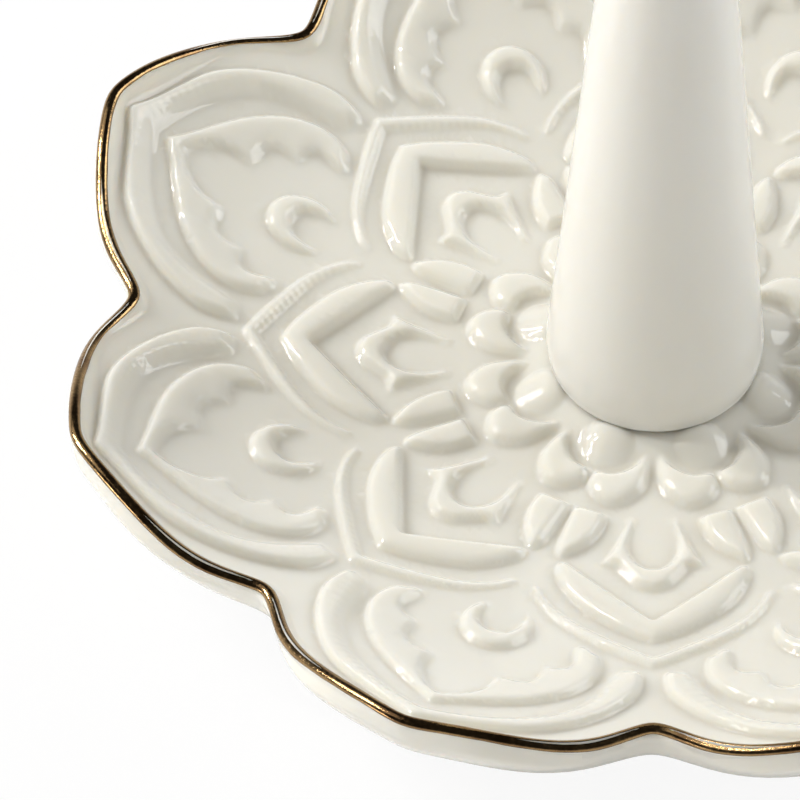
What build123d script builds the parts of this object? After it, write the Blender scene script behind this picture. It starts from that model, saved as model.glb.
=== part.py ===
from build123d import *
import os
from math import atan2, cos, degrees, exp, hypot, radians, sin, sqrt

os.makedirs("parts", exist_ok=True)

# Rim crest: eight lobes with softly pointed tips and narrow notches between them
lobes = 8
tip_radius = 63.5
lobe_swell = 6.75  # how far the crest runs out between a notch and a tip
notch_dip = 2.3  # extra bite of each notch
notch_spread_angle = 5.3
notch_soft_angle = 1.0
tip_soft_angle = 1.8
rim_height = 18.0  # mean height of the crest above the table
rim_wave = 2.7  # the tips rise and the notches fall by this much
lip_outer = 1.0  # lip thickness outside the crest
lip_inner = 1.2  # lip thickness inside the crest
lip_round = 0.95

# Bowl: a low pad for the cone, a flat centre and one long arc up to the lip
floor_height = 5.6
floor_radius = 20.0
bowl_rise = 13.9  # how far the arc climbs from the flat centre to the lobe tips
pad_height = 1.0
pad_margin = 0.6
pad_slope = 2.0

# Underside: foot ring and a vent under the hollow cone
foot_radius = 38.0
foot_width = 4.0
foot_height = 1.6
foot_round = 0.8
foot_joint_margin = 1.0  # the wall starts this far outside the foot ring
vent_radius = 2.5

# Ring cone: hollow, widest just above its base, round at the tip
cone_base_radius = 10.9
cone_belly_radius = 11.3
cone_belly_height = 3.5
cone_height = 73.5
cone_taper = 0.09  # loss of radius for each unit of height
cone_wall = 2.6
cone_base_round = 0.8

# Bond of fired slip between pad and cone
bond_thickness = 0.3
bond_inset = 0.9

# Relief on the bowl, and a ring of beads round the cone
relief_height = 1.1
relief_root = 0.8  # how far the motifs reach down into the bowl
bead_ring_radius = 12.9
bead_radius = 2.7
bead_height = 1.5
cone_clearance = 0.3

overrun = 5.0

# Outer wall below the lip: height as a share of the rim height, mean radius as a
# share of the mean crest radius, and how much of the lobes is left there
wall_share = (
    (1.25, 1.000, 1.00),
    (0.97, 1.000, 1.00),
    (0.72, 0.977, 0.71),
    (0.50, 0.923, 0.38),
    (0.28, 0.807, 0.17),
)

# Relief outlines as (across, outward) shares of the tip radius. Each is a chain of
# runs: two points make a line and more make a curve. These three are the right
# halves of motifs on each lobe's axis.
outer_band_share = (
    ((0, 0.975), (0.047, 0.951), (0.102, 0.929), (0.161, 0.901), (0.208, 0.857),
     (0.246, 0.797), (0.266, 0.740), (0.268, 0.702), (0.255, 0.665), (0.236, 0.652),
     (0.213, 0.665), (0.205, 0.701), (0.202, 0.743), (0.189, 0.792), (0.161, 0.835),
     (0.113, 0.872), (0.055, 0.902), (0, 0.925)),
)
scalloped_arch_share = (
    ((0, 0.904), (0.035, 0.880), (0.082, 0.852), (0.132, 0.816), (0.172, 0.770),
     (0.191, 0.728), (0.194, 0.693), (0.184, 0.661), (0.167, 0.641), (0.145, 0.631),
     (0.129, 0.641), (0.135, 0.671), (0.131, 0.693), (0.115, 0.702), (0.101, 0.704)),
    ((0.101, 0.704), (0.102, 0.734), (0.094, 0.756), (0.072, 0.765), (0.047, 0.767)),
    ((0.047, 0.767), (0.049, 0.797), (0.039, 0.830), (0.022, 0.854), (0, 0.868)),
)
crescent_share = (
    ((0, 0.713), (0.036, 0.699), (0.055, 0.665), (0.054, 0.633), (0.039, 0.606)),
    ((0.039, 0.606), (0.030, 0.609)),
    ((0.030, 0.609), (0.031, 0.633), (0.022, 0.657), (0, 0.666)),
)

# The right halves of motifs on each notch's axis
chevron_share = (
    ((0, 0.691), (0.050, 0.661), (0.099, 0.628), (0.143, 0.592), (0.172, 0.556),
     (0.189, 0.523), (0.194, 0.496)),
    ((0.194, 0.496), (0.178, 0.502)),
    ((0.178, 0.502), (0.170, 0.524), (0.150, 0.553), (0.120, 0.581), (0.082, 0.608),
     (0.039, 0.636), (0, 0.660)),
)
long_leaves_share = (
    ((0, 0.627), (0.041, 0.606), (0.080, 0.578), (0.120, 0.542), (0.146, 0.501),
     (0.157, 0.463), (0.153, 0.441)),
    ((0.153, 0.441), (0.142, 0.441)),
    ((0.142, 0.441), (0, 0.572)),
)
horseshoe_share = (
    ((0, 0.506), (0.030, 0.494), (0.050, 0.468), (0.065, 0.450), (0.093, 0.447)),
    ((0.093, 0.447), (0.072, 0.414), (0.054, 0.372), (0.039, 0.337)),
    ((0.039, 0.337), (0.025, 0.342)),
    ((0.025, 0.342), (0.035, 0.381), (0.035, 0.414), (0.020, 0.441), (0, 0.449)),
)

# Whole motifs to the right of each notch's axis, with a twin to its left
short_leaf_share = (
    ((0.154, 0.433), (0.157, 0.409), (0.146, 0.369), (0.128, 0.317)),
    ((0.128, 0.317), (0.071, 0.337)),
    ((0.071, 0.337), (0.085, 0.378), (0.110, 0.411), (0.145, 0.435)),
    ((0.145, 0.435), (0.154, 0.433)),
)
scale_share = (
    ((0.008, 0.208), (0.008, 0.249), (0.020, 0.287), (0.054, 0.315), (0.085, 0.309),
     (0.106, 0.280), (0.104, 0.249)),
    ((0.104, 0.249), (0.094, 0.241), (0.066, 0.246), (0.038, 0.233), (0.019, 0.209)),
    ((0.019, 0.209), (0.008, 0.208)),
)

half_lobe = 180 / lobes
points_per_half_lobe = 5
outline_angles = [
    step * half_lobe / points_per_half_lobe for step in range(2 * lobes * points_per_half_lobe)
]
lip_thickness = lip_outer + lip_inner
pad_top = floor_height + pad_height
pad_radius = cone_base_radius + pad_margin
cone_foot = pad_top + bond_thickness
bowl_run = tip_radius - floor_radius
bowl_arc_radius = (bowl_run**2 + bowl_rise**2) / (2 * bowl_rise)
above_rim = rim_height + rim_wave + bowl_rise + overrun


def softened(angle, softness):
    """The size of an angle, with its kink at zero rounded off."""
    return sqrt(angle * angle + softness * softness) - softness


def crest_radius(angle):
    """Plan radius of the rim crest; angle zero is at the front notch."""
    from_notch = abs((angle + half_lobe) % (2 * half_lobe) - half_lobe)
    from_tip = half_lobe - softened(from_notch, notch_soft_angle)
    ramp = lobe_swell * softened(from_tip, tip_soft_angle) / half_lobe
    return tip_radius - ramp - notch_dip * exp(-((from_notch / notch_spread_angle) ** 2))


def crest_height(angle):
    return rim_height - rim_wave * cos(radians(lobes * angle))


mean_radius = sum(crest_radius(angle) for angle in outline_angles) / len(outline_angles)


def lobed_points(grow, radius=mean_radius, lobe_depth=1):
    """Points of a lobed outline, grown outwards along its own normal."""

    def at(angle):
        reach = radius + lobe_depth * (crest_radius(angle) - mean_radius)
        return reach * sin(radians(angle)), -reach * cos(radians(angle))

    points = []
    step = half_lobe / points_per_half_lobe / 10
    for angle in outline_angles:
        (x, y), (x0, y0), (x1, y1) = at(angle), at(angle - step), at(angle + step)
        run = hypot(x1 - x0, y1 - y0)
        points.append((x + grow * (y1 - y0) / run, y - grow * (x1 - x0) / run))
    return points


def lobed_face(height, grow, radius=mean_radius, lobe_depth=1):
    """A lobed section: one curve for each half lobe, square to the radius at its ends."""
    points = [Vector(x, y, height) for x, y in lobed_points(grow, radius, lobe_depth)]
    points.append(points[0])
    runs = []
    for run in range(2 * lobes):
        first = run * points_per_half_lobe
        ends = radians(run * half_lobe), radians((run + 1) * half_lobe)
        tangents = [Vector(cos(end), sin(end)) for end in ends]
        run_points = points[first : first + points_per_half_lobe + 1]
        runs.append(Edge.make_spline(run_points, tangents=tangents))
    return Face(Wire(runs))


def level_ring(radius):
    """A round closed curve that rises and falls with the crest."""
    points = [
        Vector(radius * sin(radians(a)), -radius * cos(radians(a)), crest_height(a))
        for a in outline_angles
    ]
    return Edge.make_spline(points, periodic=True)


def on_crest(point):
    """True where a point lies on the wavy top of the lip."""
    angle = degrees(atan2(point.X, -point.Y))
    return abs(point.Z - crest_height(angle)) < lip_thickness / 20


def bowl_profile(lift):
    """Half section of the bowl's upper surface, raised by lift: its points and its outer end."""
    reach = tip_radius + overrun
    rise = bowl_arc_radius - sqrt(bowl_arc_radius**2 - (reach - floor_radius) ** 2)
    points = [
        (0, pad_top + lift),
        (pad_radius, pad_top + lift),
        (pad_radius + pad_slope, floor_height + lift),
        (floor_radius, floor_height + lift),
    ]
    return points, (reach, floor_height + rise + lift)


def mirrored(runs):
    """The same runs on the other side of their axis, in reverse, to close an outline."""
    return tuple(tuple((-u, v) for u, v in reversed(run)) for run in reversed(runs))


def motifs(runs, axis_angle):
    """One motif as a tall prism on each lobe or notch, from its outline's runs."""
    with BuildPart() as prism:
        with BuildSketch():
            with BuildLine():
                for run in runs:
                    points = [(u * tip_radius, -v * tip_radius) for u, v in run]
                    if len(points) == 2:
                        Line(*points)
                    else:
                        Spline(*points)
            make_face()
        extrude(amount=above_rim)
    return [prism.part.rotate(Axis.Z, axis_angle + 2 * half_lobe * lobe) for lobe in range(lobes)]


# Space inside the bowl, above its plain surface
with BuildPart() as hollow:
    extrude(lobed_face(foot_height, -lip_inner), amount=above_rim, dir=(0, 0, 1))
    with BuildSketch(Plane.XZ):
        with BuildLine():
            inner, outer_end = bowl_profile(0)
            Polyline((0, above_rim), *inner)
            RadiusArc(inner[-1], outer_end, -bowl_arc_radius)
            Polyline(outer_end, (outer_end[0], above_rim), (0, above_rim))
        make_face()
    revolve(axis=Axis.Z, mode=Mode.INTERSECT)

# Layer that the relief stands in: a little below the bowl's surface to a little above
with BuildPart() as relief_layer:
    with BuildSketch(Plane.XZ):
        with BuildLine():
            low, low_end = bowl_profile(-relief_root)
            high, high_end = bowl_profile(relief_height)
            Polyline(*low)
            RadiusArc(low[-1], low_end, -bowl_arc_radius)
            Line(low_end, high_end)
            RadiusArc(high[-1], high_end, -bowl_arc_radius)
            Polyline(*high)
            Line(high[0], low[0])
        make_face()
    revolve(axis=Axis.Z)

prisms = []
for half in (outer_band_share, scalloped_arch_share, crescent_share):
    prisms += motifs(half + mirrored(half), half_lobe)
for half in (chevron_share, long_leaves_share, horseshoe_share):
    prisms += motifs(half + mirrored(half), 0)
for whole in (short_leaf_share, scale_share):
    prisms += motifs(whole, 0)
    prisms += motifs(mirrored(whole), 0)
relief = [solid for prism in prisms for solid in (prism & relief_layer.part).solids()]

bead_centre = floor_height + bead_height - bead_radius
with BuildPart(Plane.XY.offset(bead_centre)) as beads:
    with PolarLocations(bead_ring_radius, lobes, start_angle=half_lobe):
        Sphere(bead_radius)

# Dish: lobed wall, hollowed bowl, wavy rounded lip, foot ring, relief, beads and vent
wall_sections = [
    lobed_face(height * rim_height, lip_outer, size * mean_radius, depth)
    for height, size, depth in wall_share
]
wall_sections.append(lobed_face(foot_height, 0, foot_radius + foot_joint_margin, 0))

with BuildPart() as dish:
    loft(sections=wall_sections)
    add(hollow.part, mode=Mode.SUBTRACT)
    wavy_sheet = Face.make_surface_from_curves(
        level_ring(floor_radius), level_ring(tip_radius + overrun)
    )
    extrude(wavy_sheet, amount=rim_height, dir=(0, 0, 1), mode=Mode.SUBTRACT)
    lip_edges = [
        edge for edge in dish.edges() if edge.length > 2 * lip_thickness and on_crest(edge @ 0.5)
    ]
    fillet(lip_edges, min(lip_round, 0.44 * lip_thickness))
    with BuildSketch():
        Circle(foot_radius)
        Circle(foot_radius - foot_width, mode=Mode.SUBTRACT)
    extrude(amount=foot_height + foot_height / 2)
    foot_edges = dish.edges().group_by(Axis.Z)[0]
    fillet(foot_edges, min(foot_round, foot_width / 3))
    add(relief + beads.solids())
    with BuildSketch(Plane.XY.offset(pad_top)):
        Circle(cone_belly_radius + cone_clearance)
    extrude(amount=overrun, mode=Mode.SUBTRACT)
    with BuildSketch():
        Circle(vent_radius)
    extrude(amount=pad_top + overrun, mode=Mode.SUBTRACT)
dish.part.label = "dish"
export_step(dish.part, "parts/dish.step")


def cone_space(inset):
    """The cone's outer form, or its inner one when drawn inside by the wall."""
    top = cone_foot + cone_height - inset
    belly = cone_foot + cone_belly_height
    base_radius = cone_base_radius - inset
    belly_radius = cone_belly_radius - inset
    skew = sqrt(1 + cone_taper**2)
    tip_round = (belly_radius - cone_taper * (top - belly)) / (skew - cone_taper)
    tip_height = top - tip_round + tip_round * cone_taper / skew
    with BuildPart() as form:
        with BuildSketch(Plane.XZ):
            with BuildLine():
                Polyline((0, top), (0, cone_foot), (base_radius, cone_foot))
                Line((belly_radius, belly), (tip_round / skew, tip_height))
                Spline(
                    (base_radius, cone_foot),
                    (belly_radius, belly),
                    tangents=((0, 1), (-cone_taper, 1)),
                )
                RadiusArc((tip_round / skew, tip_height), (0, top), -tip_round)
            make_face()
        revolve(axis=Axis.Z)
    return form.part


# Ring cone
with BuildPart() as ring_cone:
    add(cone_space(0))
    base_edge = ring_cone.edges().group_by(Axis.Z)[0]
    fillet(base_edge, min(cone_base_round, cone_wall / 3))
    add(cone_space(cone_wall), mode=Mode.SUBTRACT)
ring_cone.part.label = "ring_cone"
export_step(ring_cone.part, "parts/ring_cone.step")

# Bond ring under the cone's wall
with BuildPart() as cone_bond:
    with BuildSketch(Plane.XY.offset(pad_top)):
        Circle(cone_base_radius - bond_inset)
        Circle(cone_base_radius - cone_wall, mode=Mode.SUBTRACT)
    extrude(amount=bond_thickness)
cone_bond.part.label = "cone_bond"
export_step(cone_bond.part, "parts/cone_bond.step")


for piece in (dish, ring_cone, cone_bond):
    print(piece.part.label, round(piece.part.volume), piece.part.is_valid)
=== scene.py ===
import math
import bmesh
import bpy
import numpy as np
from mathutils import Matrix, Vector


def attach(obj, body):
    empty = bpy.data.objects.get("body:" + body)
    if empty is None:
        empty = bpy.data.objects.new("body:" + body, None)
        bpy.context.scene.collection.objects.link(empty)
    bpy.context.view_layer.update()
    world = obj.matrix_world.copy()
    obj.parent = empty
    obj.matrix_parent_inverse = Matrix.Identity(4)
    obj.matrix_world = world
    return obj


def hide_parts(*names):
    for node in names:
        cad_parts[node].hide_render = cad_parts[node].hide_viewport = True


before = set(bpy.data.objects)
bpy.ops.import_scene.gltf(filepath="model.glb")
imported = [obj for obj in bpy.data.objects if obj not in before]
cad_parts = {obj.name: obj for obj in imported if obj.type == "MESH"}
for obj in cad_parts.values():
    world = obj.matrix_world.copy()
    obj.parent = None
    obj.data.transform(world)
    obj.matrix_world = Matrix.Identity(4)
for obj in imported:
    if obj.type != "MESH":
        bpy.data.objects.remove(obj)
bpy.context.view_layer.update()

# Rim crest: eight lobes with softly pointed tips and narrow notches between them
LOBES = 8
HALF_LOBE = 180 / LOBES
TIP_RADIUS = 0.0635
LOBE_SWELL = 0.00675
NOTCH_DIP = 0.0023
NOTCH_SPREAD_ANGLE = 5.3
NOTCH_SOFT_ANGLE = 1.0
TIP_SOFT_ANGLE = 1.3
TIP_BLUNTING_ANGLE = 0.4
RIM_HEIGHT = 0.018
RIM_WAVE = 0.0027
LIP_RADIUS = 0.00066
LIP_SIDE_ANGLE = math.radians(68)
LIP_COVE = 0.0013
LIP_FOOT_INSET = 0.0026
WALL_GROWTH = 0.00092
WALL_SWELL_DEPTH = 0.0024
WALL_TOP_SHARE = 1.25
LOBE_ROUNDING = 0.0010
LOBE_ROUNDING_SHARE = 0.05

# Bowl
FLOOR_HEIGHT = 0.0056
FLOOR_RADIUS = 0.020
BOWL_ARC_RADIUS = 0.075
BOWL_ARC_LIMIT_SHARE = 0.9
PAD_HEIGHT = 0.0010
PAD_RADIUS = 0.0112
PAD_SLOPE = 0.0036
PAD_TOP = FLOOR_HEIGHT + PAD_HEIGHT
SEAT_RADIUS = 0.0100
RELIEF_EDGE_INSET = 0.0009
RELIEF_EDGE_FADE = 0.0008
RELIEF_SEAT_FADE = 0.0004
CREST_SLANT_SHARE = 0.93

# Underside
FOOT_RADIUS = 0.038
FOOT_WIDTH = 0.004
FOOT_HEIGHT = 0.0016
FOOT_ROUND = 0.0008
FOOT_JOINT_MARGIN = 0.001
VENT_RADIUS = 0.0025

# Outer wall below the lip: share of the rim height, share of the mean crest radius,
# share of the lobes' depth
WALL_SHARE = (
    (0.97, 1.000, 1.00),
    (0.72, 0.977, 0.71),
    (0.50, 0.923, 0.38),
    (0.28, 0.807, 0.17),
)

# Ring cone
CONE_BASE_RADIUS = 0.0109
CONE_BELLY_RADIUS = 0.0115
CONE_BELLY_HEIGHT = 0.0035
CONE_HEIGHT = 0.0735
CONE_TAPER = 0.09
CONE_WALL = 0.0026
CONE_BASE_ROUND = 0.0008
BOND_THICKNESS = 0.0003
BOND_INSET = 0.0009
CONE_FOOT = PAD_TOP + BOND_THICKNESS
CONE_BASE_SWELL_SHARE = 0.5
CONE_BASE_TUCK_SHARE = 0.98
SPIN_STEPS = 144
TIP_POINTS = 17
SIDE_POINTS = 15
BELLY_POINTS = 8
BASE_POINTS = 9
BOND_POINTS = 7

# Relief: heights above the bowl and how steeply each edge falls
RELIEF_SOFTNESS = 0.00024
# Pooled glaze and painted shade: how widely the relief is blurred to find its hollows
POOL_AND_SHADE_SOFTNESS = 0.0011

# Relief outlines as (across, outward) shares of the tip radius. Each motif is
# (axis, symmetric, height, runs, lean, ribs), each run (edge width, rounding, joint, points)
# and lean the share of height lost away from the first run and the distance it takes.
# Rounding "plump" bulges up at once, "smooth" eases in and out. A run with "arch"
# crosses its axis smoothly, the others meet it in a point. Ribs cross a strip beside one
# run: (run, pitch, depth, strip's near side, strip's far side). None stands for no lean
# or no ribs.
OUTER_BAND = ("lobe", True, 0.0014, (
    (0.0008, "plump", "point",
     ((0, 0.975), (0.047, 0.951), (0.102, 0.929), (0.161, 0.901), (0.208, 0.857),
      (0.246, 0.797), (0.266, 0.740), (0.268, 0.702), (0.255, 0.665), (0.236, 0.652))),
    (0.0020, "smooth", "point",
     ((0.236, 0.652), (0.213, 0.665), (0.205, 0.701), (0.202, 0.743), (0.189, 0.792),
      (0.161, 0.835), (0.113, 0.872), (0.055, 0.902), (0, 0.921))),
), (0.15, 0.0040), (1, 0.0010, 0.00011, 0.0011, 0.0027))
SCALLOPED_ARCH = ("lobe", True, 0.0012, (
    (0.0011, "plump", "point",
     ((0, 0.904), (0.035, 0.880), (0.082, 0.852), (0.132, 0.816), (0.172, 0.770),
      (0.191, 0.728), (0.194, 0.693), (0.184, 0.661), (0.167, 0.641))),
    (0.0012, "smooth", "point",
     ((0.167, 0.641), (0.145, 0.631), (0.129, 0.641), (0.135, 0.671), (0.131, 0.693),
      (0.115, 0.702), (0.101, 0.704))),
    (0.0012, "smooth", "point",
     ((0.101, 0.704), (0.102, 0.734), (0.094, 0.756), (0.072, 0.765), (0.047, 0.767))),
    (0.0012, "smooth", "point",
     ((0.047, 0.767), (0.049, 0.797), (0.039, 0.830), (0.022, 0.854), (0, 0.868))),
), (0.55, 0.0060), None)
CRESCENT = ("lobe", True, 0.0011, (
    (0.0014, "plump", "arch",
     ((0, 0.713), (0.036, 0.699), (0.055, 0.665), (0.054, 0.633), (0.039, 0.606))),
    (0.0008, "smooth", "point", ((0.039, 0.606), (0.030, 0.609))),
    (0.0010, "smooth", "arch",
     ((0.030, 0.609), (0.031, 0.633), (0.022, 0.657), (0, 0.666))),
), None, None)
CHEVRON = ("notch", True, 0.0009, (
    (0.0013, "plump", "point",
     ((0, 0.691), (0.050, 0.661), (0.099, 0.628), (0.143, 0.592), (0.172, 0.556),
      (0.189, 0.523), (0.194, 0.496))),
    (0.0008, "smooth", "point", ((0.194, 0.496), (0.178, 0.502))),
    (0.0009, "smooth", "point",
     ((0.178, 0.502), (0.170, 0.524), (0.150, 0.553), (0.120, 0.581), (0.082, 0.608),
      (0.039, 0.636), (0, 0.660))),
), None, (2, 0.0009, 0.00014, 0.0, 0.0009))
LONG_LEAVES = ("notch", True, 0.0013, (
    (0.0022, "plump", "point",
     ((0, 0.627), (0.041, 0.606), (0.080, 0.578), (0.120, 0.542), (0.146, 0.501),
      (0.157, 0.463), (0.153, 0.441))),
    (0.0006, "smooth", "point", ((0.153, 0.441), (0.142, 0.441))),
    (0.0007, "smooth", "point", ((0.142, 0.441), (0, 0.572))),
), None, None)
HORSESHOE = ("notch", True, 0.0011, (
    (0.0012, "smooth", "arch",
     ((0, 0.506), (0.030, 0.494), (0.050, 0.468), (0.065, 0.450), (0.093, 0.447))),
    (0.0010, "smooth", "point",
     ((0.093, 0.447), (0.072, 0.414), (0.054, 0.372), (0.039, 0.337))),
    (0.0006, "smooth", "point", ((0.039, 0.337), (0.025, 0.342))),
    (0.0010, "smooth", "arch",
     ((0.025, 0.342), (0.035, 0.381), (0.035, 0.414), (0.020, 0.441), (0, 0.449))),
), None, None)
SHORT_LEAF = ("notch", False, 0.0012, (
    (0.0016, "plump", "point",
     ((0.154, 0.433), (0.157, 0.409), (0.146, 0.369), (0.128, 0.317))),
    (0.0006, "smooth", "point", ((0.128, 0.317), (0.071, 0.337))),
    (0.0008, "smooth", "point",
     ((0.071, 0.337), (0.085, 0.378), (0.110, 0.411), (0.145, 0.435))),
    (0.0005, "smooth", "point", ((0.145, 0.435), (0.154, 0.433))),
), None, None)
SCALE = ("notch", False, 0.0012, (
    (0.0018, "plump", "point",
     ((0.008, 0.208), (0.008, 0.249), (0.020, 0.287), (0.054, 0.315), (0.085, 0.309),
      (0.106, 0.280), (0.104, 0.249))),
    (0.0009, "smooth", "point",
     ((0.104, 0.249), (0.094, 0.241), (0.066, 0.246), (0.038, 0.233), (0.019, 0.209))),
    (0.0006, "smooth", "point", ((0.019, 0.209), (0.008, 0.208))),
), None, None)
MOTIFS = (OUTER_BAND, SCALLOPED_ARCH, CRESCENT, CHEVRON, LONG_LEAVES, HORSESHOE,
          SHORT_LEAF, SCALE)
# Round hollows in the arch at the corners of its scallops, on a lobe's axis: place as
# shares of the tip radius, radius and depth
SCOOPS = (
    ((0.036, 0.812), 0.0011, 0.0005),
    ((0.093, 0.748), 0.0013, 0.0008),
    ((0.133, 0.687), 0.0012, 0.0008),
)
BEAD_RING = 0.0129
BEAD_RADIUS = 0.0028
BEAD_HEIGHT = 0.0010
BEAD_FULLNESS = 0.8
WEB_RADIUS = 0.0124
WEB_FADE = 0.0026
RIB_FADE = 0.0003
CURVE_STEPS = 12


def smoothstep(value):
    """Eases from 0 to 1."""
    eased = np.clip(value, 0, 1)
    return eased * eased * (3 - 2 * eased)


def smooth_max(a, b, blend):
    """The higher of two heights, rounded where they cross."""
    near = np.clip(blend - np.abs(a - b), 0, None) / blend
    return np.maximum(a, b) + near * near * blend / 4


def softened(angle, softness):
    """An angle whose corner at nothing is rounded."""
    return np.sqrt(angle * angle + softness * softness) - softness


def crest_radius(angle):
    """Plan radius of the rim crest, with the angle in degrees from the front notch."""
    from_notch = np.abs((angle + HALF_LOBE) % (2 * HALF_LOBE) - HALF_LOBE)
    from_tip = softened(HALF_LOBE, NOTCH_SOFT_ANGLE) - softened(from_notch, NOTCH_SOFT_ANGLE)
    ramp = LOBE_SWELL * (softened(from_tip, TIP_SOFT_ANGLE) + TIP_BLUNTING_ANGLE) / HALF_LOBE
    return TIP_RADIUS - ramp - NOTCH_DIP * np.exp(-((from_notch / NOTCH_SPREAD_ANGLE) ** 2))


def crest_height(angle):
    """Height of the rim crest, which waves up to the lobes' tips."""
    return RIM_HEIGHT - RIM_WAVE * np.cos(np.radians(LOBES * angle))


MEAN_RADIUS = float(np.mean(crest_radius(np.arange(0, 360, 0.5))))


# Half the span over which an outline's normal is taken, wider the further it is grown,
# so that the lobes' pointed tips never fold over themselves
NORMAL_SPAN_ANGLE = 0.2
NORMAL_SPAN_PER_METRE = 450


def outline(angle, grow, radius=MEAN_RADIUS, depth=1.0):
    """Plan point on a lobed outline and its outward normal."""
    def at(a):
        reach = radius + depth * (crest_radius(a) - MEAN_RADIUS)
        return reach * np.sin(np.radians(a)), -reach * np.cos(np.radians(a))
    x, y = at(angle)
    span = NORMAL_SPAN_ANGLE + NORMAL_SPAN_PER_METRE * np.abs(grow)
    x0, y0 = at(angle - span)
    x1, y1 = at(angle + span)
    run = np.hypot(x1 - x0, y1 - y0)
    nx, ny = (y1 - y0) / run, -(x1 - x0) / run
    return x + grow * nx, y + grow * ny, nx, ny


def bowl_floor(radius):
    """Height of the plain bowl: pad, flat centre and one long arc."""
    past = np.clip(radius - FLOOR_RADIUS, 0, BOWL_ARC_RADIUS * BOWL_ARC_LIMIT_SHARE)
    arc = BOWL_ARC_RADIUS - np.sqrt(BOWL_ARC_RADIUS ** 2 - past ** 2)
    pad = PAD_HEIGHT * (1 - smoothstep((radius - PAD_RADIUS) / PAD_SLOPE))
    return FLOOR_HEIGHT + arc + pad


# Relief map over half a lobe, drawn from the motif outlines
MAP_CELL = 0.0001
MAP_LOW = (-0.0025, 0.0085)
MAP_SIZE = (300, 580)


def through(points, joint):
    """A smooth curve through the points of one run."""
    knots = np.array(points, float) * TIP_RADIUS
    if len(knots) == 2:
        return knots
    first, last = 2 * knots[0] - knots[1], 2 * knots[-1] - knots[-2]
    if joint == "arch" and points[0][0] == 0:
        first = knots[1] * (-1, 1)
    if joint == "arch" and points[-1][0] == 0:
        last = knots[-2] * (-1, 1)
    padded = np.vstack([first, knots, last])
    curve = []
    for a, b, c, d in zip(padded, padded[1:], padded[2:], padded[3:]):
        for t in np.arange(CURVE_STEPS) / CURVE_STEPS:
            curve.append(0.5 * (2 * b + (c - a) * t + (2 * a - 5 * b + 4 * c - d) * t ** 2
                                + (3 * b - a - 3 * c + d) * t ** 3))
    return np.array(curve + [knots[-1]])


def to_notch_axis(points, axis):
    """Turns a motif drawn on a lobe's axis to its place beside the notch's axis."""
    if axis == "notch":
        return points
    turn = math.radians(HALF_LOBE)
    u, v = points[:, 0], points[:, 1]
    return np.column_stack([u * math.cos(turn) + v * math.sin(turn),
                            v * math.cos(turn) - u * math.sin(turn)])


def distance_to(line, u, v):
    """Distance from each point to an open line, and how far along it the nearest point is."""
    best = np.full(u.shape, 1.0)
    along = np.zeros(u.shape)
    done = 0.0
    for (au, av), (bu, bv) in zip(line, line[1:]):
        du, dv = bu - au, bv - av
        length = math.hypot(du, dv)
        t = np.clip(((u - au) * du + (v - av) * dv) / (length * length), 0, 1)
        gap = np.hypot(u - au - t * du, v - av - t * dv)
        closer = gap < best
        best = np.where(closer, gap, best)
        along = np.where(closer, done + t * length, along)
        done += length
    return best, along


def inside(loop, u, v):
    """True for the points inside a closed outline."""
    hit = np.zeros(u.shape, bool)
    for (au, av), (bu, bv) in zip(loop, np.roll(loop, -1, axis=0)):
        if av == bv:
            continue
        crosses = (av > v) != (bv > v)
        hit ^= crosses & (u < au + (v - av) * (bu - au) / (bv - av))
    return hit


def blurred(field, softness):
    """The field smoothed by a bell curve of the given width."""
    reach = int(math.ceil(3 * softness / MAP_CELL))
    taps = np.arange(-reach, reach + 1)
    weights = np.exp(-0.5 * (taps * MAP_CELL / softness) ** 2)
    weights /= weights.sum()
    for axis in (0, 1):
        padded = np.pad(field, [(reach, reach) if a == axis else (0, 0) for a in (0, 1)], "edge")
        field = sum(w * np.take(padded, range(i, i + field.shape[axis]), axis)
                    for i, w in enumerate(weights))
    return field


def draw_motif(relief, fine, u, v, motif, flip):
    """Raises one motif on the relief map, and marks where it is ribbed."""
    axis, symmetric, height, runs, lean, ribs = motif
    lines = [through(points, joint) * (flip, 1) for _, _, joint, points in runs]
    if symmetric:
        lines += [line[::-1] * (-1, 1) for line in reversed(lines)]
        runs = list(runs) + list(reversed(runs))
    lines = [to_notch_axis(line, axis) for line in lines]
    loop = np.vstack([line[:-1] for line in lines])
    low, high = loop.min(axis=0), loop.max(axis=0)
    near = (u > low[0]) & (u < high[0]) & (v > low[1]) & (v < high[1])
    if not near.any():
        return
    pu, pv = u[near], v[near]
    rise = np.full(pu.shape, height)
    from_ridge = np.full(pu.shape, TIP_RADIUS)
    for index, (line, (width, rounding, _, _)) in enumerate(zip(lines, runs)):
        gap, along = distance_to(line, pu, pv)
        part = np.clip(gap / width, 0, 1)
        edge = np.sqrt(part * (2 - part)) if rounding == "plump" else smoothstep(part)
        rise = np.minimum(rise, height * edge)
        if min(index, len(runs) - 1 - index) == 0:
            from_ridge = np.minimum(from_ridge, gap)
        if ribs and min(index, len(runs) - 1 - index) == ribs[0]:
            _, pitch, depth, near_side, far_side = ribs
            strip = (smoothstep((gap - near_side) / RIB_FADE + 0.5)
                     * smoothstep((far_side - gap) / RIB_FADE + 0.5))
            rise = rise - depth * strip * (0.5 - 0.5 * np.cos(2 * math.pi * along / pitch))
            fine[near] = np.maximum(fine[near], np.where(inside(loop, pu, pv), strip, 0))
    if lean:
        rise *= 1 - lean[0] * np.clip(from_ridge / lean[1], 0, 1)
    relief[near] = np.maximum(relief[near], np.where(inside(loop, pu, pv), rise, 0))


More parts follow.
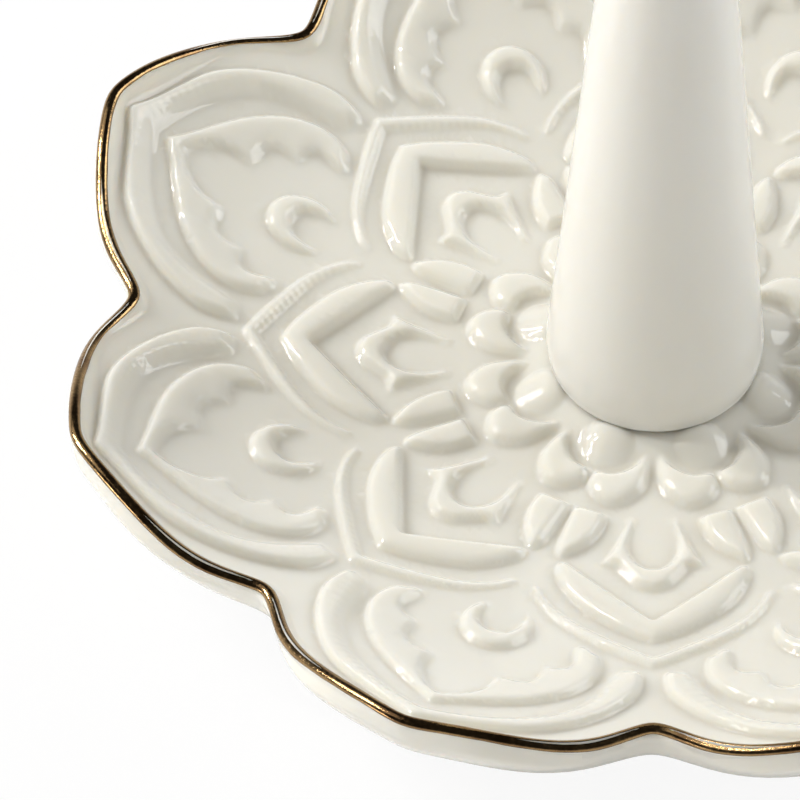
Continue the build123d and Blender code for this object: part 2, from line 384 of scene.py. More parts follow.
def relief_map():
    """Height of the relief over half a lobe, and where it is finely ribbed."""
    columns = MAP_LOW[0] + MAP_CELL * np.arange(MAP_SIZE[0])
    rows = MAP_LOW[1] + MAP_CELL * np.arange(MAP_SIZE[1])
    u, v = np.meshgrid(columns, rows, indexing="ij")
    relief, fine = np.zeros(u.shape), np.zeros(u.shape)
    for motif in MOTIFS:
        draw_motif(relief, fine, u, v, motif, 1)
        if not motif[1]:
            draw_motif(relief, fine, u, v, motif, -1)
    for place_share, radius, depth in SCOOPS:
        for side in (-1, 1):
            spot = to_notch_axis(np.array([place_share]) * TIP_RADIUS * (side, 1), "lobe")[0]
            away = np.hypot(u - spot[0], v - spot[1]) / radius
            relief -= np.minimum(depth * np.exp(-away ** 2), relief)
    relief *= smoothstep((np.hypot(u, v) - WEB_RADIUS) / WEB_FADE)
    turn = math.radians(HALF_LOBE)
    bead = np.hypot(u - BEAD_RING * math.sin(turn), v - BEAD_RING * math.cos(turn)) / BEAD_RADIUS
    relief = np.maximum(relief, BEAD_HEIGHT * np.clip(1 - bead ** 2, 0, 1) ** BEAD_FULLNESS)
    return blurred(relief, RELIEF_SOFTNESS), fine


RELIEF, FINE = relief_map()
# How deep each point sits below its blurred surroundings: the relief's hollows, which the glaze
# darkens as pooled glaze and painted shade
POOL_AND_SHADE_MAP = np.clip(blurred(RELIEF, POOL_AND_SHADE_SOFTNESS) - RELIEF, 0, None)


def sample(field, x, y):
    """Reads a map at plan points anywhere on the dish, folded into half a lobe."""
    radius = np.hypot(x, y)
    angle = np.degrees(np.arctan2(x, -y))
    folded = np.radians(np.abs((angle + HALF_LOBE) % (2 * HALF_LOBE) - HALF_LOBE))
    i = (radius * np.sin(folded) - MAP_LOW[0]) / MAP_CELL
    j = (radius * np.cos(folded) - MAP_LOW[1]) / MAP_CELL
    i = np.clip(i, 0, MAP_SIZE[0] - 1.001)
    j = np.clip(j, 0, MAP_SIZE[1] - 1.001)
    i0, j0 = i.astype(int), j.astype(int)
    di, dj = i - i0, j - j0
    return ((field[i0, j0] * (1 - di) + field[i0 + 1, j0] * di) * (1 - dj)
            + (field[i0, j0 + 1] * (1 - di) + field[i0 + 1, j0 + 1] * di) * dj)


def bowl_surface(x, y, inset):
    """Height of the relief surface; inset is the distance in from the rim crest."""
    radius = np.hypot(x, y)
    kept = (smoothstep((inset - RELIEF_EDGE_INSET) / RELIEF_EDGE_FADE)
            * smoothstep((radius - SEAT_RADIUS) / RELIEF_SEAT_FADE))
    return bowl_floor(radius) + kept * sample(RELIEF, x, y)


def lip_arc(across, height):
    """Height of the round lip at a distance across it from its middle line."""
    edge = LIP_RADIUS * math.sin(LIP_SIDE_ANGLE)
    reach = np.abs(across)
    round_top = np.sqrt(LIP_RADIUS ** 2 - np.minimum(reach, edge) ** 2)
    side = math.tan(LIP_SIDE_ANGLE) * np.clip(reach - edge, 0, None)
    return height - LIP_RADIUS + round_top - side


def lip_surface(angle, grow):
    """Point on the inner half of the lip, where it melts into the bowl."""
    x, y, _, _ = outline(angle, grow)
    round_top = lip_arc(grow, crest_height(angle))
    return x, y, smooth_max(round_top, bowl_surface(x, y, -grow), LIP_COVE)


def eased_table(height):
    """Wall radius, lobe depth and growth at a height, eased between the named levels."""
    levels = [(FOOT_HEIGHT, FOOT_RADIUS + FOOT_JOINT_MARGIN, 0.0, 0.0)]
    for height_share, radius_share, lobe_depth in reversed(WALL_SHARE):
        levels.append((height_share * RIM_HEIGHT, radius_share * MEAN_RADIUS, lobe_depth,
                       WALL_GROWTH))
    levels.append((WALL_TOP_SHARE * RIM_HEIGHT, MEAN_RADIUS, 1.0, WALL_GROWTH))
    table = np.array(levels)
    z = table[:, 0]
    k = np.clip(np.searchsorted(z, height) - 1, 0, len(z) - 2)
    span = z[k + 1] - z[k]
    t = ((height - z[k]) / span)[:, None]
    slopes = np.gradient(table[:, 1:], z, axis=0)
    slopes[-2:] = 0
    a, b = table[k, 1:], table[k + 1, 1:]
    ma, mb = slopes[k] * span[:, None], slopes[k + 1] * span[:, None]
    return ((2 * t ** 3 - 3 * t ** 2 + 1) * a + (t ** 3 - 2 * t ** 2 + t) * ma
            + (3 * t ** 2 - 2 * t ** 3) * b + (t ** 3 - t ** 2) * mb)


# The dish's skin, walked from the cone's seat out over the bowl and lip, down the
# wall and back under to the vent: stations on each stretch. The bowl's stations take the
# rim's lobed shape late, and the lip's bunch up towards its crest.
BOWL_STEPS = 60
LIP_IN_STEPS = 9
LIP_OUT_STEPS = 5
WALL_STEPS = 10
EDGE_FOLLOWING = 5
LIP_BUNCHING = 1.4
SOFT_CORNER = 0.00025
FOOT_CORNER = FOOT_ROUND * 0.3
UNDER_PATH = (
    (FOOT_RADIUS + FOOT_JOINT_MARGIN, FOOT_HEIGHT),
    (FOOT_RADIUS + SOFT_CORNER, FOOT_HEIGHT),
    (FOOT_RADIUS, FOOT_HEIGHT - SOFT_CORNER),
    (FOOT_RADIUS, FOOT_ROUND),
    (FOOT_RADIUS - FOOT_CORNER, FOOT_CORNER),
    (FOOT_RADIUS - FOOT_ROUND, 0),
    (FOOT_RADIUS - FOOT_WIDTH + FOOT_ROUND, 0),
    (FOOT_RADIUS - FOOT_WIDTH + FOOT_CORNER, FOOT_CORNER),
    (FOOT_RADIUS - FOOT_WIDTH, FOOT_ROUND),
    (FOOT_RADIUS - FOOT_WIDTH, FOOT_HEIGHT - SOFT_CORNER),
    (FOOT_RADIUS - FOOT_WIDTH - SOFT_CORNER, FOOT_HEIGHT),
    (FOOT_RADIUS / 2, FOOT_HEIGHT),
    (VENT_RADIUS + SOFT_CORNER, FOOT_HEIGHT),
    (VENT_RADIUS, FOOT_HEIGHT + SOFT_CORNER),
    (VENT_RADIUS, PAD_TOP - SOFT_CORNER),
    (VENT_RADIUS + SOFT_CORNER, PAD_TOP),
    (SEAT_RADIUS, PAD_TOP),
)
STATIONS = np.cumsum([0, BOWL_STEPS, LIP_IN_STEPS, LIP_OUT_STEPS, WALL_STEPS,
                      len(UNDER_PATH) - 1])


def dish_skin(station, angle):
    """Points of the dish's closed skin at stations along its section and angles round it."""
    x, y, z = (np.zeros(station.shape) for _ in range(3))
    sine, cosine = np.sin(np.radians(angle)), np.cos(np.radians(angle))

    here = station <= STATIONS[1]
    part = station[here] / BOWL_STEPS
    edge_x, edge_y, _, _ = outline(angle[here], -LIP_FOOT_INSET)
    mean_edge = MEAN_RADIUS - LIP_FOOT_INSET
    reach = SEAT_RADIUS * (mean_edge / SEAT_RADIUS) ** part
    spread = part ** EDGE_FOLLOWING
    x[here] = reach * sine[here] + spread * (edge_x - mean_edge * sine[here])
    y[here] = -reach * cosine[here] + spread * (edge_y + mean_edge * cosine[here])
    radius = np.hypot(x[here], y[here])
    turned = np.degrees(np.arctan2(x[here], -y[here]))
    z[here] = bowl_surface(x[here], y[here], (crest_radius(turned) - radius) * CREST_SLANT_SHARE)

    here = (station > STATIONS[1]) & (station <= STATIONS[2])
    part = (station[here] - STATIONS[1]) / LIP_IN_STEPS
    inward = LIP_FOOT_INSET * (1 - part) ** LIP_BUNCHING
    x[here], y[here], z[here] = lip_surface(angle[here], -inward)

    here = (station > STATIONS[2]) & (station <= STATIONS[3])
    swing = math.pi / 2 * (1 - (station[here] - STATIONS[2]) / LIP_OUT_STEPS)
    x[here], y[here], _, _ = outline(angle[here], LIP_RADIUS * np.cos(swing))
    z[here] = crest_height(angle[here]) - LIP_RADIUS + LIP_RADIUS * np.sin(swing)

    here = (station > STATIONS[3]) & (station <= STATIONS[4])
    part = (station[here] - STATIONS[3]) / WALL_STEPS
    top = crest_height(angle[here]) - LIP_RADIUS
    height = top + (FOOT_HEIGHT - top) * part
    radius, depth, grow = eased_table(height).T
    swollen = smoothstep((top - height) / WALL_SWELL_DEPTH)
    grow -= (WALL_GROWTH - LIP_RADIUS) * (1 - swollen)
    flank = -0.5 * np.cos(2 * math.pi * angle[here] / HALF_LOBE) + LOBE_ROUNDING_SHARE
    grow += LOBE_ROUNDING * flank * swollen * smoothstep(height / (RIM_HEIGHT / 2))
    x[here], y[here], _, _ = outline(angle[here], grow, radius, depth)
    z[here] = height

    here = station > STATIONS[4]
    path = np.array(UNDER_PATH)
    place = station[here] - STATIONS[4]
    reach = np.interp(place, range(len(path)), path[:, 0])
    x[here], y[here] = reach * sine[here], -reach * cosine[here]
    z[here] = np.interp(place, range(len(path)), path[:, 1])
    return np.column_stack([x, y, z])


# Meshing: a flat sheet of stations and angles, divided where the skin bends, then bent
ANGLE_STEPS = 16
DIVIDE_ROUNDS = 3
DIVIDE_TOLERANCE = 0.000022
RIB_EDGE = 0.00036
RIBBED_SHARE = 0.2
POOL_AND_SHADE_MARGIN = 0.0002
BARE_FOOT_HEIGHT = FOOT_ROUND * 0.2
SEAM_MERGE = 1e-6
POINT_MERGE = 1e-7
STATION_NUDGE = 0.08
ANGLE_NUDGE = 0.15


def chart(bm):
    """The stations and angles that a sheet's vertices stand for."""
    flat = np.array([v.co[:] for v in bm.verts])
    return flat[:, 0] * STATIONS[-1], flat[:, 1] * HALF_LOBE


def object_from(bm, name, materials):
    """A smooth object in the scene from a finished bmesh."""
    mesh = bpy.data.meshes.new(name)
    bm.to_mesh(mesh)
    bm.free()
    for material in materials:
        mesh.materials.append(material)
    mesh.polygons.foreach_set("use_smooth", [True] * len(mesh.polygons))
    piece = bpy.data.objects.new(name, mesh)
    bpy.context.collection.objects.link(piece)
    return piece


def divide_where_bent(bm):
    """One round of division of the edges that leave the skin at any quarter of their
    length, or that are long for the ribs at their middle."""
    bm.verts.ensure_lookup_table()
    bm.verts.index_update()
    points = dish_skin(*chart(bm))
    edges = list(bm.edges)
    ends = np.array([[v.index for v in e.verts] for e in edges])
    flat = np.array([v.co[:] for v in bm.verts])
    miss = np.zeros(len(edges))
    for share in (0.25, 0.75, 0.5):
        middle = flat[ends[:, 0]] * (1 - share) + flat[ends[:, 1]] * share
        true = dish_skin(middle[:, 0] * STATIONS[-1], middle[:, 1] * HALF_LOBE)
        chord = points[ends[:, 0]] * (1 - share) + points[ends[:, 1]] * share
        miss = np.maximum(miss, np.linalg.norm(true - chord, axis=1))
    length = np.linalg.norm(points[ends[:, 0]] - points[ends[:, 1]], axis=1)
    on_top = middle[:, 0] * STATIONS[-1] < STATIONS[2]
    ribbed = (sample(FINE, true[:, 0], true[:, 1]) > RIBBED_SHARE) & on_top
    needed = (miss > DIVIDE_TOLERANCE) | (ribbed & (length > RIB_EDGE))
    chosen = [edge for edge, yes in zip(edges, needed) if yes]
    bmesh.ops.subdivide_edges(bm, edges=chosen, cuts=1, use_grid_fill=True)


def skin_normals(station, angle):
    """True outward normals of the skin in the first half lobe."""
    before = np.clip(station - STATION_NUDGE, 0, None)
    after = np.clip(station + STATION_NUDGE, None, STATIONS[-1])
    along = dish_skin(after, angle) - dish_skin(before, angle)
    round_it = dish_skin(station, angle + ANGLE_NUDGE) - dish_skin(station, angle - ANGLE_NUDGE)
    normals = np.cross(along, round_it)
    return normals / np.linalg.norm(normals, axis=1)[:, None]


def shade_as_skin(piece):
    """Gives each vertex the true normal of the skin instead of its facets' average."""
    mesh = piece.data
    count = len(mesh.vertices)
    station, angle, places = np.empty(count), np.empty(count), np.empty(count * 3)
    mesh.attributes["station"].data.foreach_get("value", station)
    mesh.attributes["angle"].data.foreach_get("value", angle)
    mesh.vertices.foreach_get("co", places)
    x, y, _ = places.reshape(-1, 3).T
    nx, ny, nz = skin_normals(station, angle).T
    turned = np.degrees(np.arctan2(x, -y))
    lobe = np.round(turned / (2 * HALF_LOBE))
    nx = np.where(turned < lobe * 2 * HALF_LOBE, -nx, nx)
    turn = np.radians(lobe * 2 * HALF_LOBE)
    sine, cosine = np.sin(turn), np.cos(turn)
    normals = np.column_stack([nx * cosine - ny * sine, nx * sine + ny * cosine, nz])
    averaged = np.empty(count * 3)
    mesh.vertex_normals.foreach_get("vector", averaged)
    underside = (station < 0.5) | (station > STATIONS[4] - 1)
    normals = np.where(underside[:, None], averaged.reshape(-1, 3), normals)
    corners = np.empty(len(mesh.loops), int)
    mesh.loops.foreach_get("vertex_index", corners)
    stored = mesh.attributes.new("custom_normal", "FLOAT_VECTOR", "CORNER")
    stored.data.foreach_set("vector", normals[corners].ravel())
    for name in ("station", "angle"):
        mesh.attributes.remove(mesh.attributes[name])


def make_dish(materials):
    """The lobed dish: half a lobe's skin, mirrored and turned round, with a bare foot."""
    bm = bmesh.new()
    bmesh.ops.create_grid(bm, x_segments=int(STATIONS[-1]), y_segments=ANGLE_STEPS, size=0.5)
    bmesh.ops.translate(bm, verts=bm.verts, vec=(0.5, 0.5, 0))
    for _ in range(DIVIDE_ROUNDS):
        divide_where_bent(bm)
    stations, angles = chart(bm)
    station_layer = bm.verts.layers.float.new("station")
    angle_layer = bm.verts.layers.float.new("angle")
    skin = dish_skin(stations, angles)
    for vertex, station, angle, place in zip(bm.verts, stations, angles, skin):
        vertex[station_layer] = station
        vertex[angle_layer] = angle
        vertex.co = place
    bmesh.ops.mirror(bm, geom=bm.verts[:] + bm.edges[:] + bm.faces[:], axis="X",
                     merge_dist=POINT_MERGE)
    bmesh.ops.spin(bm, geom=bm.verts[:] + bm.edges[:] + bm.faces[:], axis=(0, 0, 1),
                   cent=(0, 0, 0), angle=math.radians(2 * HALF_LOBE * (LOBES - 1)),
                   steps=LOBES - 1, use_duplicate=True)
    bmesh.ops.remove_doubles(bm, verts=bm.verts, dist=SEAM_MERGE)
    bmesh.ops.recalc_face_normals(bm, faces=bm.faces)
    for face in bm.faces:
        if face.calc_center_median().z < BARE_FOOT_HEIGHT:
            face.material_index = 1
    piece = object_from(bm, "lobed_dish", materials)
    places = np.empty(len(piece.data.vertices) * 3)
    piece.data.vertices.foreach_get("co", places)
    x, y, z = places.reshape(-1, 3).T
    # Pooled glaze and painted shade: each vertex on the bowl's top carries how deep it sits in a
    # hollow of the relief
    above = z > bowl_floor(np.hypot(x, y)) - POOL_AND_SHADE_MARGIN
    pool_and_shade = piece.data.attributes.new("pool_and_shade", "FLOAT", "POINT")
    pool_and_shade.data.foreach_set("value", np.where(above, sample(POOL_AND_SHADE_MAP, x, y), 0))
    shade_as_skin(piece)
    return piece


def spun(profile, name, materials):
    """A closed form turned from a half section that starts and ends on the axis or closes."""
    bm = bmesh.new()
    verts = [bm.verts.new((0, -r, z)) for r, z in profile]
    edges = [bm.edges.new(pair) for pair in zip(verts, verts[1:])]
    if profile[0][0] > 0:
        edges.append(bm.edges.new((verts[-1], verts[0])))
    bmesh.ops.spin(bm, geom=verts + edges, axis=(0, 0, 1), cent=(0, 0, 0),
                   angle=2 * math.pi, steps=SPIN_STEPS, use_merge=True)
    bmesh.ops.remove_doubles(bm, verts=bm.verts, dist=POINT_MERGE)
    bmesh.ops.recalc_face_normals(bm, faces=bm.faces)
    return object_from(bm, name, materials)


def cone_side(inset):
    """Half section of the cone from its tip to its base, drawn inside its skin by inset."""
    top = CONE_FOOT + CONE_HEIGHT - inset
    belly = CONE_FOOT + CONE_BELLY_HEIGHT
    base_radius = CONE_BASE_RADIUS - inset
    belly_radius = CONE_BELLY_RADIUS - inset
    skew = math.sqrt(1 + CONE_TAPER ** 2)
    tip_round = (belly_radius - CONE_TAPER * (top - belly)) / (skew - CONE_TAPER)
    lean = math.atan(CONE_TAPER)
    side = []
    for turn in np.linspace(math.pi / 2, lean, TIP_POINTS):
        side.append((tip_round * math.cos(turn), top - tip_round + tip_round * math.sin(turn)))
    side[0] = (0, top)
    start = side[-1]
    for part in np.linspace(0, 1, SIDE_POINTS)[1:]:
        side.append((start[0] + (belly_radius - start[0]) * part,
                     start[1] + (belly - start[1]) * part))
    for part in np.linspace(0, 1, BELLY_POINTS)[1:]:
        bulge = belly_radius - (belly_radius - base_radius) * part ** 2
        swell = CONE_TAPER * CONE_BELLY_HEIGHT * part * (1 - part) * CONE_BASE_SWELL_SHARE
        side.append((bulge + swell, belly - CONE_BELLY_HEIGHT * part))
    return side


def make_cone(materials):
    """The hollow ring cone, open at its foot."""
    outer = cone_side(0)
    outer = [p for p in outer if p[1] > CONE_FOOT + CONE_BASE_ROUND]
    centre_r = outer[-1][0] - CONE_BASE_ROUND
    for turn in np.linspace(0, -math.pi / 2, BASE_POINTS):
        outer.append((centre_r + CONE_BASE_ROUND * math.cos(turn) * CONE_BASE_TUCK_SHARE,
                      CONE_FOOT + CONE_BASE_ROUND + CONE_BASE_ROUND * math.sin(turn)))
    cavity = cone_side(CONE_WALL)[::-1]
    cavity[0] = (CONE_BASE_RADIUS - CONE_WALL, CONE_FOOT)
    return spun(outer + cavity, "tapered_cone", materials)


def make_bond(materials):
    """The thin ring of slip between the cone and the dish, its outer edge rounded."""
    inner, outer = CONE_BASE_RADIUS - CONE_WALL, CONE_BASE_RADIUS - BOND_INSET
    bulge = BOND_THICKNESS / 2
    profile = [(inner, PAD_TOP), (inner, CONE_FOOT)]
    for turn in np.linspace(math.pi / 2, -math.pi / 2, BOND_POINTS):
        profile.append((outer + bulge * (math.cos(turn) - 1),
                        PAD_TOP + bulge + bulge * math.sin(turn)))
    return spun(profile, "slip_bond", materials)


# Gold band
GOLD_THICKNESS = 0.00003
GOLD_LIFT = 0.000005
GOLD_INNER_REACH = 0.00060
GOLD_OUTER_SWING = math.radians(16)
GOLD_WANDER = 0.00006
GOLD_INNER_WANDER_SHARE = 0.5
GOLD_OUTER_WANDER_SHARE = 0.7
GOLD_INNER_SEED = 1.0
GOLD_OUTER_SEED = 5.0
GOLD_INNER_TILT_SHARE = 0.8
GOLD_ROUND_STEPS = 768
GOLD_IN_STEPS = 5
GOLD_OUT_STEPS = 6
# The painted edge's drift: strength, waves round the rim, share of the seed
WANDER_WAVES = (
    (1.0, 7, 1.0),
    (0.7, 19, 2.3),
    (0.5, 43, 4.1),
    (0.35, 97, 1.7),
)


def wander(angle, seed):
    """A hand-painted edge's small drift round the rim."""
    turn = np.radians(angle)
    return sum(strength * np.sin(waves * turn + shift * seed)
               for strength, waves, shift in WANDER_WAVES)


def gold_skin(part, angle, lift):
    """Points across the band, part 0 at its inner edge and 1 at its outer edge."""
    height = crest_height(angle)
    inner_drift = GOLD_WANDER * wander(angle, GOLD_INNER_SEED)
    inner = GOLD_INNER_REACH + inner_drift * GOLD_INNER_WANDER_SHARE
    outer_drift = GOLD_WANDER / LIP_RADIUS * wander(angle, GOLD_OUTER_SEED)
    outer = GOLD_OUTER_SWING + outer_drift * GOLD_OUTER_WANDER_SHARE
    split = GOLD_IN_STEPS / (GOLD_IN_STEPS + GOLD_OUT_STEPS)
    inward = np.clip(1 - part / split, 0, 1) * inner
    swing = math.pi / 2 - np.clip((part - split) / (1 - split), 0, 1) * (math.pi / 2 - outer)
    across = np.where(part < split, -inward, LIP_RADIUS * np.cos(swing))
    x, y, nx, ny = outline(angle, across)
    z_in = smooth_max(lip_arc(across, height), bowl_surface(x, y, -across), LIP_COVE)
    z_out = height - LIP_RADIUS + LIP_RADIUS * np.sin(swing)
    z = np.where(part < split, z_in, z_out)
    tilt = np.where(part < split, -inward / LIP_RADIUS * GOLD_INNER_TILT_SHARE,
                    np.cos(swing))
    rise = np.sqrt(1 - tilt ** 2)
    return x + nx * tilt * lift, y + ny * tilt * lift, z + rise * lift


def make_gold(materials):
    """The closed film of gold: one walk over its top and back under it."""
    across = GOLD_IN_STEPS + GOLD_OUT_STEPS
    bm = bmesh.new()
    bmesh.ops.create_grid(bm, x_segments=2 * across + 2, y_segments=GOLD_ROUND_STEPS, size=0.5)
    flat = np.array([v.co[:] for v in bm.verts]) + 0.5
    walk = flat[:, 0] * (2 * across + 2)
    angle = flat[:, 1] * 360
    outside = walk <= across
    part = np.where(outside, walk / across, np.clip((2 * across + 1 - walk) / across, 0, 1))
    lift = np.where(outside, GOLD_LIFT + GOLD_THICKNESS, GOLD_LIFT)
    lift = np.where(walk > 2 * across + 1.5, GOLD_LIFT + GOLD_THICKNESS, lift)
    x, y, z = gold_skin(part, angle, lift)
    for vertex, place in zip(bm.verts, np.column_stack([x, y, z])):
        vertex.co = place
    bmesh.ops.remove_doubles(bm, verts=bm.verts, dist=POINT_MERGE)
    bmesh.ops.recalc_face_normals(bm, faces=bm.faces)
    return object_from(bm, "gilded_lip", materials)


# Materials
GLAZE_COLOUR = (0.80, 0.783, 0.715)
# Darker beige for the relief's hollows: pooled glaze and painted shade
POOLED_GLAZE_AND_SHADE_COLOUR = (0.68, 0.645, 0.555)
# Painted light: the cone's glaze is the dish's glaze painted lighter, to make up for the light
# the cone misses
LIGHTENED_CONE_COLOUR = (0.83, 0.815, 0.765)
FOOT_COLOUR = (0.74, 0.70, 0.63)
# Darker beige of the slip ring under the cone's foot: pooled glaze and the painted shade of the
# crease there
BOND_SLIP_AND_SHADE_COLOUR = (0.66, 0.61, 0.53)
SPECK_COLOUR = (0.16, 0.11, 0.07)
GLAZE_DRIFT_SHARES = (0.985, 0.975, 0.95)
FOOT_GRAIN_SHARE = 0.88
BOND_GRAIN_SHARE = 0.8
SPECK_FADE = 1.6
SPECK_PICK = 0.001
STREAK_STRETCH_SHARE = 0.06
STREAK_SHARE = 0.22
GOLD_COLOUR = (0.36, 0.235, 0.11)
COPPER_COLOUR = (0.15, 0.075, 0.035)


def new_material(name):
    """A node material, its nodes and links, and its shader."""
    material = bpy.data.materials.new(name)
    material.use_nodes = True
    nodes, links = material.node_tree.nodes, material.node_tree.links
    return material, nodes, links, nodes["Principled BSDF"]


def add_node(nodes, kind, **values):
    """A new node with its settings."""
    node = nodes.new(kind)
    for key, value in values.items():
        setattr(node, key, value)
    return node


def noise(nodes, links, coordinates, scale, detail=3.0):
    """Soft random variation over the piece."""
    node = nodes.new("ShaderNodeTexNoise")
    node.inputs["Scale"].default_value = scale
    node.inputs["Detail"].default_value = detail
    links.new(coordinates, node.inputs["Vector"])
    return node.outputs["Fac"]


def ranged(nodes, links, value, low, high, out_low, out_high):
    """A value eased from one range to another."""
    node = add_node(nodes, "ShaderNodeMapRange", interpolation_type="SMOOTHSTEP")
    for socket, number in zip(("From Min", "From Max", "To Min", "To Max"),
                              (low, high, out_low, out_high)):
        node.inputs[socket].default_value = number
    links.new(value, node.inputs["Value"])
    return node.outputs["Result"]


def mixed(nodes, links, factor, a, b):
    """Two colours mixed; each is a tuple or a socket."""
    node = add_node(nodes, "ShaderNodeMix", data_type="RGBA")
    links.new(factor, node.inputs[0])
    for socket, value in ((6, a), (7, b)):
        if isinstance(value, tuple):
            node.inputs[socket].default_value = (*value, 1)
        else:
            links.new(value, node.inputs[socket])
    return node.outputs[2]


def specks(nodes, links, coordinates, scale, size, share):
    """A sparse scatter of pin specks: a dot in a few of the cells."""
    dots = nodes.new("ShaderNodeTexVoronoi")
    dots.inputs["Scale"].default_value = scale
    links.new(coordinates, dots.inputs["Vector"])
    dot = ranged(nodes, links, dots.outputs["Distance"], low=size, high=size * SPECK_FADE,
                 out_low=1, out_high=0)
    pick = add_node(nodes, "ShaderNodeSeparateColor")
    links.new(dots.outputs["Color"], pick.inputs[0])
    chosen = ranged(nodes, links, pick.outputs[0], low=1 - share, high=1 - share + SPECK_PICK,
                    out_low=0, out_high=1)
    both = add_node(nodes, "ShaderNodeMath", operation="MULTIPLY")
    links.new(dot, both.inputs[0])
    links.new(chosen, both.inputs[1])
    return both.outputs[0]


def glaze(name, colour, streaks):
    """Clear glossy glaze over warm white porcelain."""
    material, nodes, links, shader = new_material(name)
    coordinates = nodes.new("ShaderNodeTexCoord").outputs["Object"]
    drift = ranged(nodes, links, noise(nodes, links, coordinates, scale=60.0),
                   low=0.35, high=0.65, out_low=0, out_high=0.35)
    tone = mixed(nodes, links, drift, colour,
                 tuple(c * share for c, share in zip(colour, GLAZE_DRIFT_SHARES)))
    # Pooled glaze and painted shade: the relief's hollows darken towards the darker beige
    pool_and_shade = add_node(nodes, "ShaderNodeAttribute", attribute_name="pool_and_shade")
    pooled = ranged(nodes, links, pool_and_shade.outputs["Fac"],
                    low=0.00008, high=0.00055, out_low=0, out_high=0.75)
    tone = mixed(nodes, links, pooled, tone, POOLED_GLAZE_AND_SHADE_COLOUR)
    speck = specks(nodes, links, coordinates, scale=260.0, size=0.03, share=0.02)
    tone = mixed(nodes, links, speck, tone, SPECK_COLOUR)
    links.new(tone, shader.inputs["Base Color"])
    shader.inputs["Roughness"].default_value = 0.32
    shader.inputs["Coat Weight"].default_value = 0.9
    shader.inputs["Coat Roughness"].default_value = 0.012
    shader.inputs["Coat IOR"].default_value = 1.5
    shader.inputs["Specular IOR Level"].default_value = 0.0
    shader.inputs["Subsurface Weight"].default_value = 0.85
    shader.inputs["Subsurface Scale"].default_value = 0.0020
    shader.inputs["Subsurface Radius"].default_value = (1.0, 0.9, 0.75)
    ripple = noise(nodes, links, coordinates, scale=140.0, detail=2.0)
    bump = nodes.new("ShaderNodeBump")
    bump.inputs["Strength"].default_value = 0.07
    bump.inputs["Distance"].default_value = 0.0004
    height = ripple
    if streaks:
        stretch = nodes.new("ShaderNodeMapping")
        stretch.inputs["Scale"].default_value = (1, 1, STREAK_STRETCH_SHARE)
        links.new(coordinates, stretch.inputs["Vector"])
        runs = noise(nodes, links, stretch.outputs["Vector"], scale=900.0, detail=2.0)
        total = add_node(nodes, "ShaderNodeMath", operation="MULTIPLY_ADD")
        total.inputs[1].default_value = STREAK_SHARE
        links.new(runs, total.inputs[0])
        links.new(ripple, total.inputs[2])
        height = total.outputs[0]
    links.new(height, bump.inputs["Height"])
    links.new(bump.outputs["Normal"], shader.inputs["Normal"])
    links.new(bump.outputs["Normal"], shader.inputs["Coat Normal"])
    return material


def bare_porcelain():
    """The dry foot, wiped clean of glaze."""
    material, nodes, links, shader = new_material("bare_porcelain")
    coordinates = nodes.new("ShaderNodeTexCoord").outputs["Object"]
    grain = noise(nodes, links, coordinates, scale=1400.0, detail=4.0)
    tone = mixed(nodes, links, grain, FOOT_COLOUR,
                 tuple(c * FOOT_GRAIN_SHARE for c in FOOT_COLOUR))
    links.new(tone, shader.inputs["Base Color"])
    shader.inputs["Roughness"].default_value = 0.8
    bump = nodes.new("ShaderNodeBump")
    bump.inputs["Strength"].default_value = 0.3
    bump.inputs["Distance"].default_value = 0.00015
    links.new(grain, bump.inputs["Height"])
    links.new(bump.outputs["Normal"], shader.inputs["Normal"])
    return material


def slip():
    """Glaze pooled over the fired slip at the cone's foot, darkened as painted shade in the
    crease under the cone.
    """
    material, nodes, links, shader = new_material("pooled_slip_and_shade")
    coordinates = nodes.new("ShaderNodeTexCoord").outputs["Object"]
    grain = noise(nodes, links, coordinates, scale=700.0)
    tone = mixed(nodes, links, grain, BOND_SLIP_AND_SHADE_COLOUR,
                 tuple(c * BOND_GRAIN_SHARE for c in BOND_SLIP_AND_SHADE_COLOUR))
    links.new(tone, shader.inputs["Base Color"])
    shader.inputs["Roughness"].default_value = 0.25
    return material


def gold_lustre():
    """Thin fired gold: bright over the round of the lip, coppery where it is thin."""
    material, nodes, links, shader = new_material("gold_lustre")
    coordinates = nodes.new("ShaderNodeTexCoord").outputs["Object"]
    cloud = noise(nodes, links, coordinates, scale=260.0, detail=4.0)
    grain = noise(nodes, links, coordinates, scale=2600.0, detail=3.0)
    thin = ranged(nodes, links, cloud, low=0.42, high=0.68, out_low=0, out_high=0.7)
    tone = mixed(nodes, links, thin, GOLD_COLOUR, COPPER_COLOUR)
    links.new(tone, shader.inputs["Base Color"])
    shader.inputs["Metallic"].default_value = 1.0
    dulled = ranged(nodes, links, grain, low=0.4, high=0.7, out_low=0.10, out_high=0.26)
    links.new(dulled, shader.inputs["Roughness"])
    bump = nodes.new("ShaderNodeBump")
    bump.inputs["Strength"].default_value = 0.35
    bump.inputs["Distance"].default_value = 0.00006
    links.new(grain, bump.inputs["Height"])
    links.new(bump.outputs["Normal"], shader.inputs["Normal"])
    return material


dish_glaze = glaze("dish_glaze", GLAZE_COLOUR, streaks=False)
# Painted light: the cone takes a lighter copy of the dish's glaze
cone_glaze = glaze("cone_glaze", LIGHTENED_CONE_COLOUR, streaks=True)

dish = make_dish([dish_glaze, bare_porcelain()])
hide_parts("dish")
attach(dish, "root")

cone = make_cone([cone_glaze])
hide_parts("ring_cone")
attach(cone, "root")

bond = make_bond([slip()])
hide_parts("cone_bond")
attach(bond, "root")

gold = make_gold([gold_lustre()])
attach(gold, "root")

# Floor: pale, and whitened to the camera so that only a faint shadow stays
FLOOR_WHITENED = 0.90
FLOOR_SIZE = 3.0
FLOOR_COLOUR = (0.93, 0.93, 0.93)


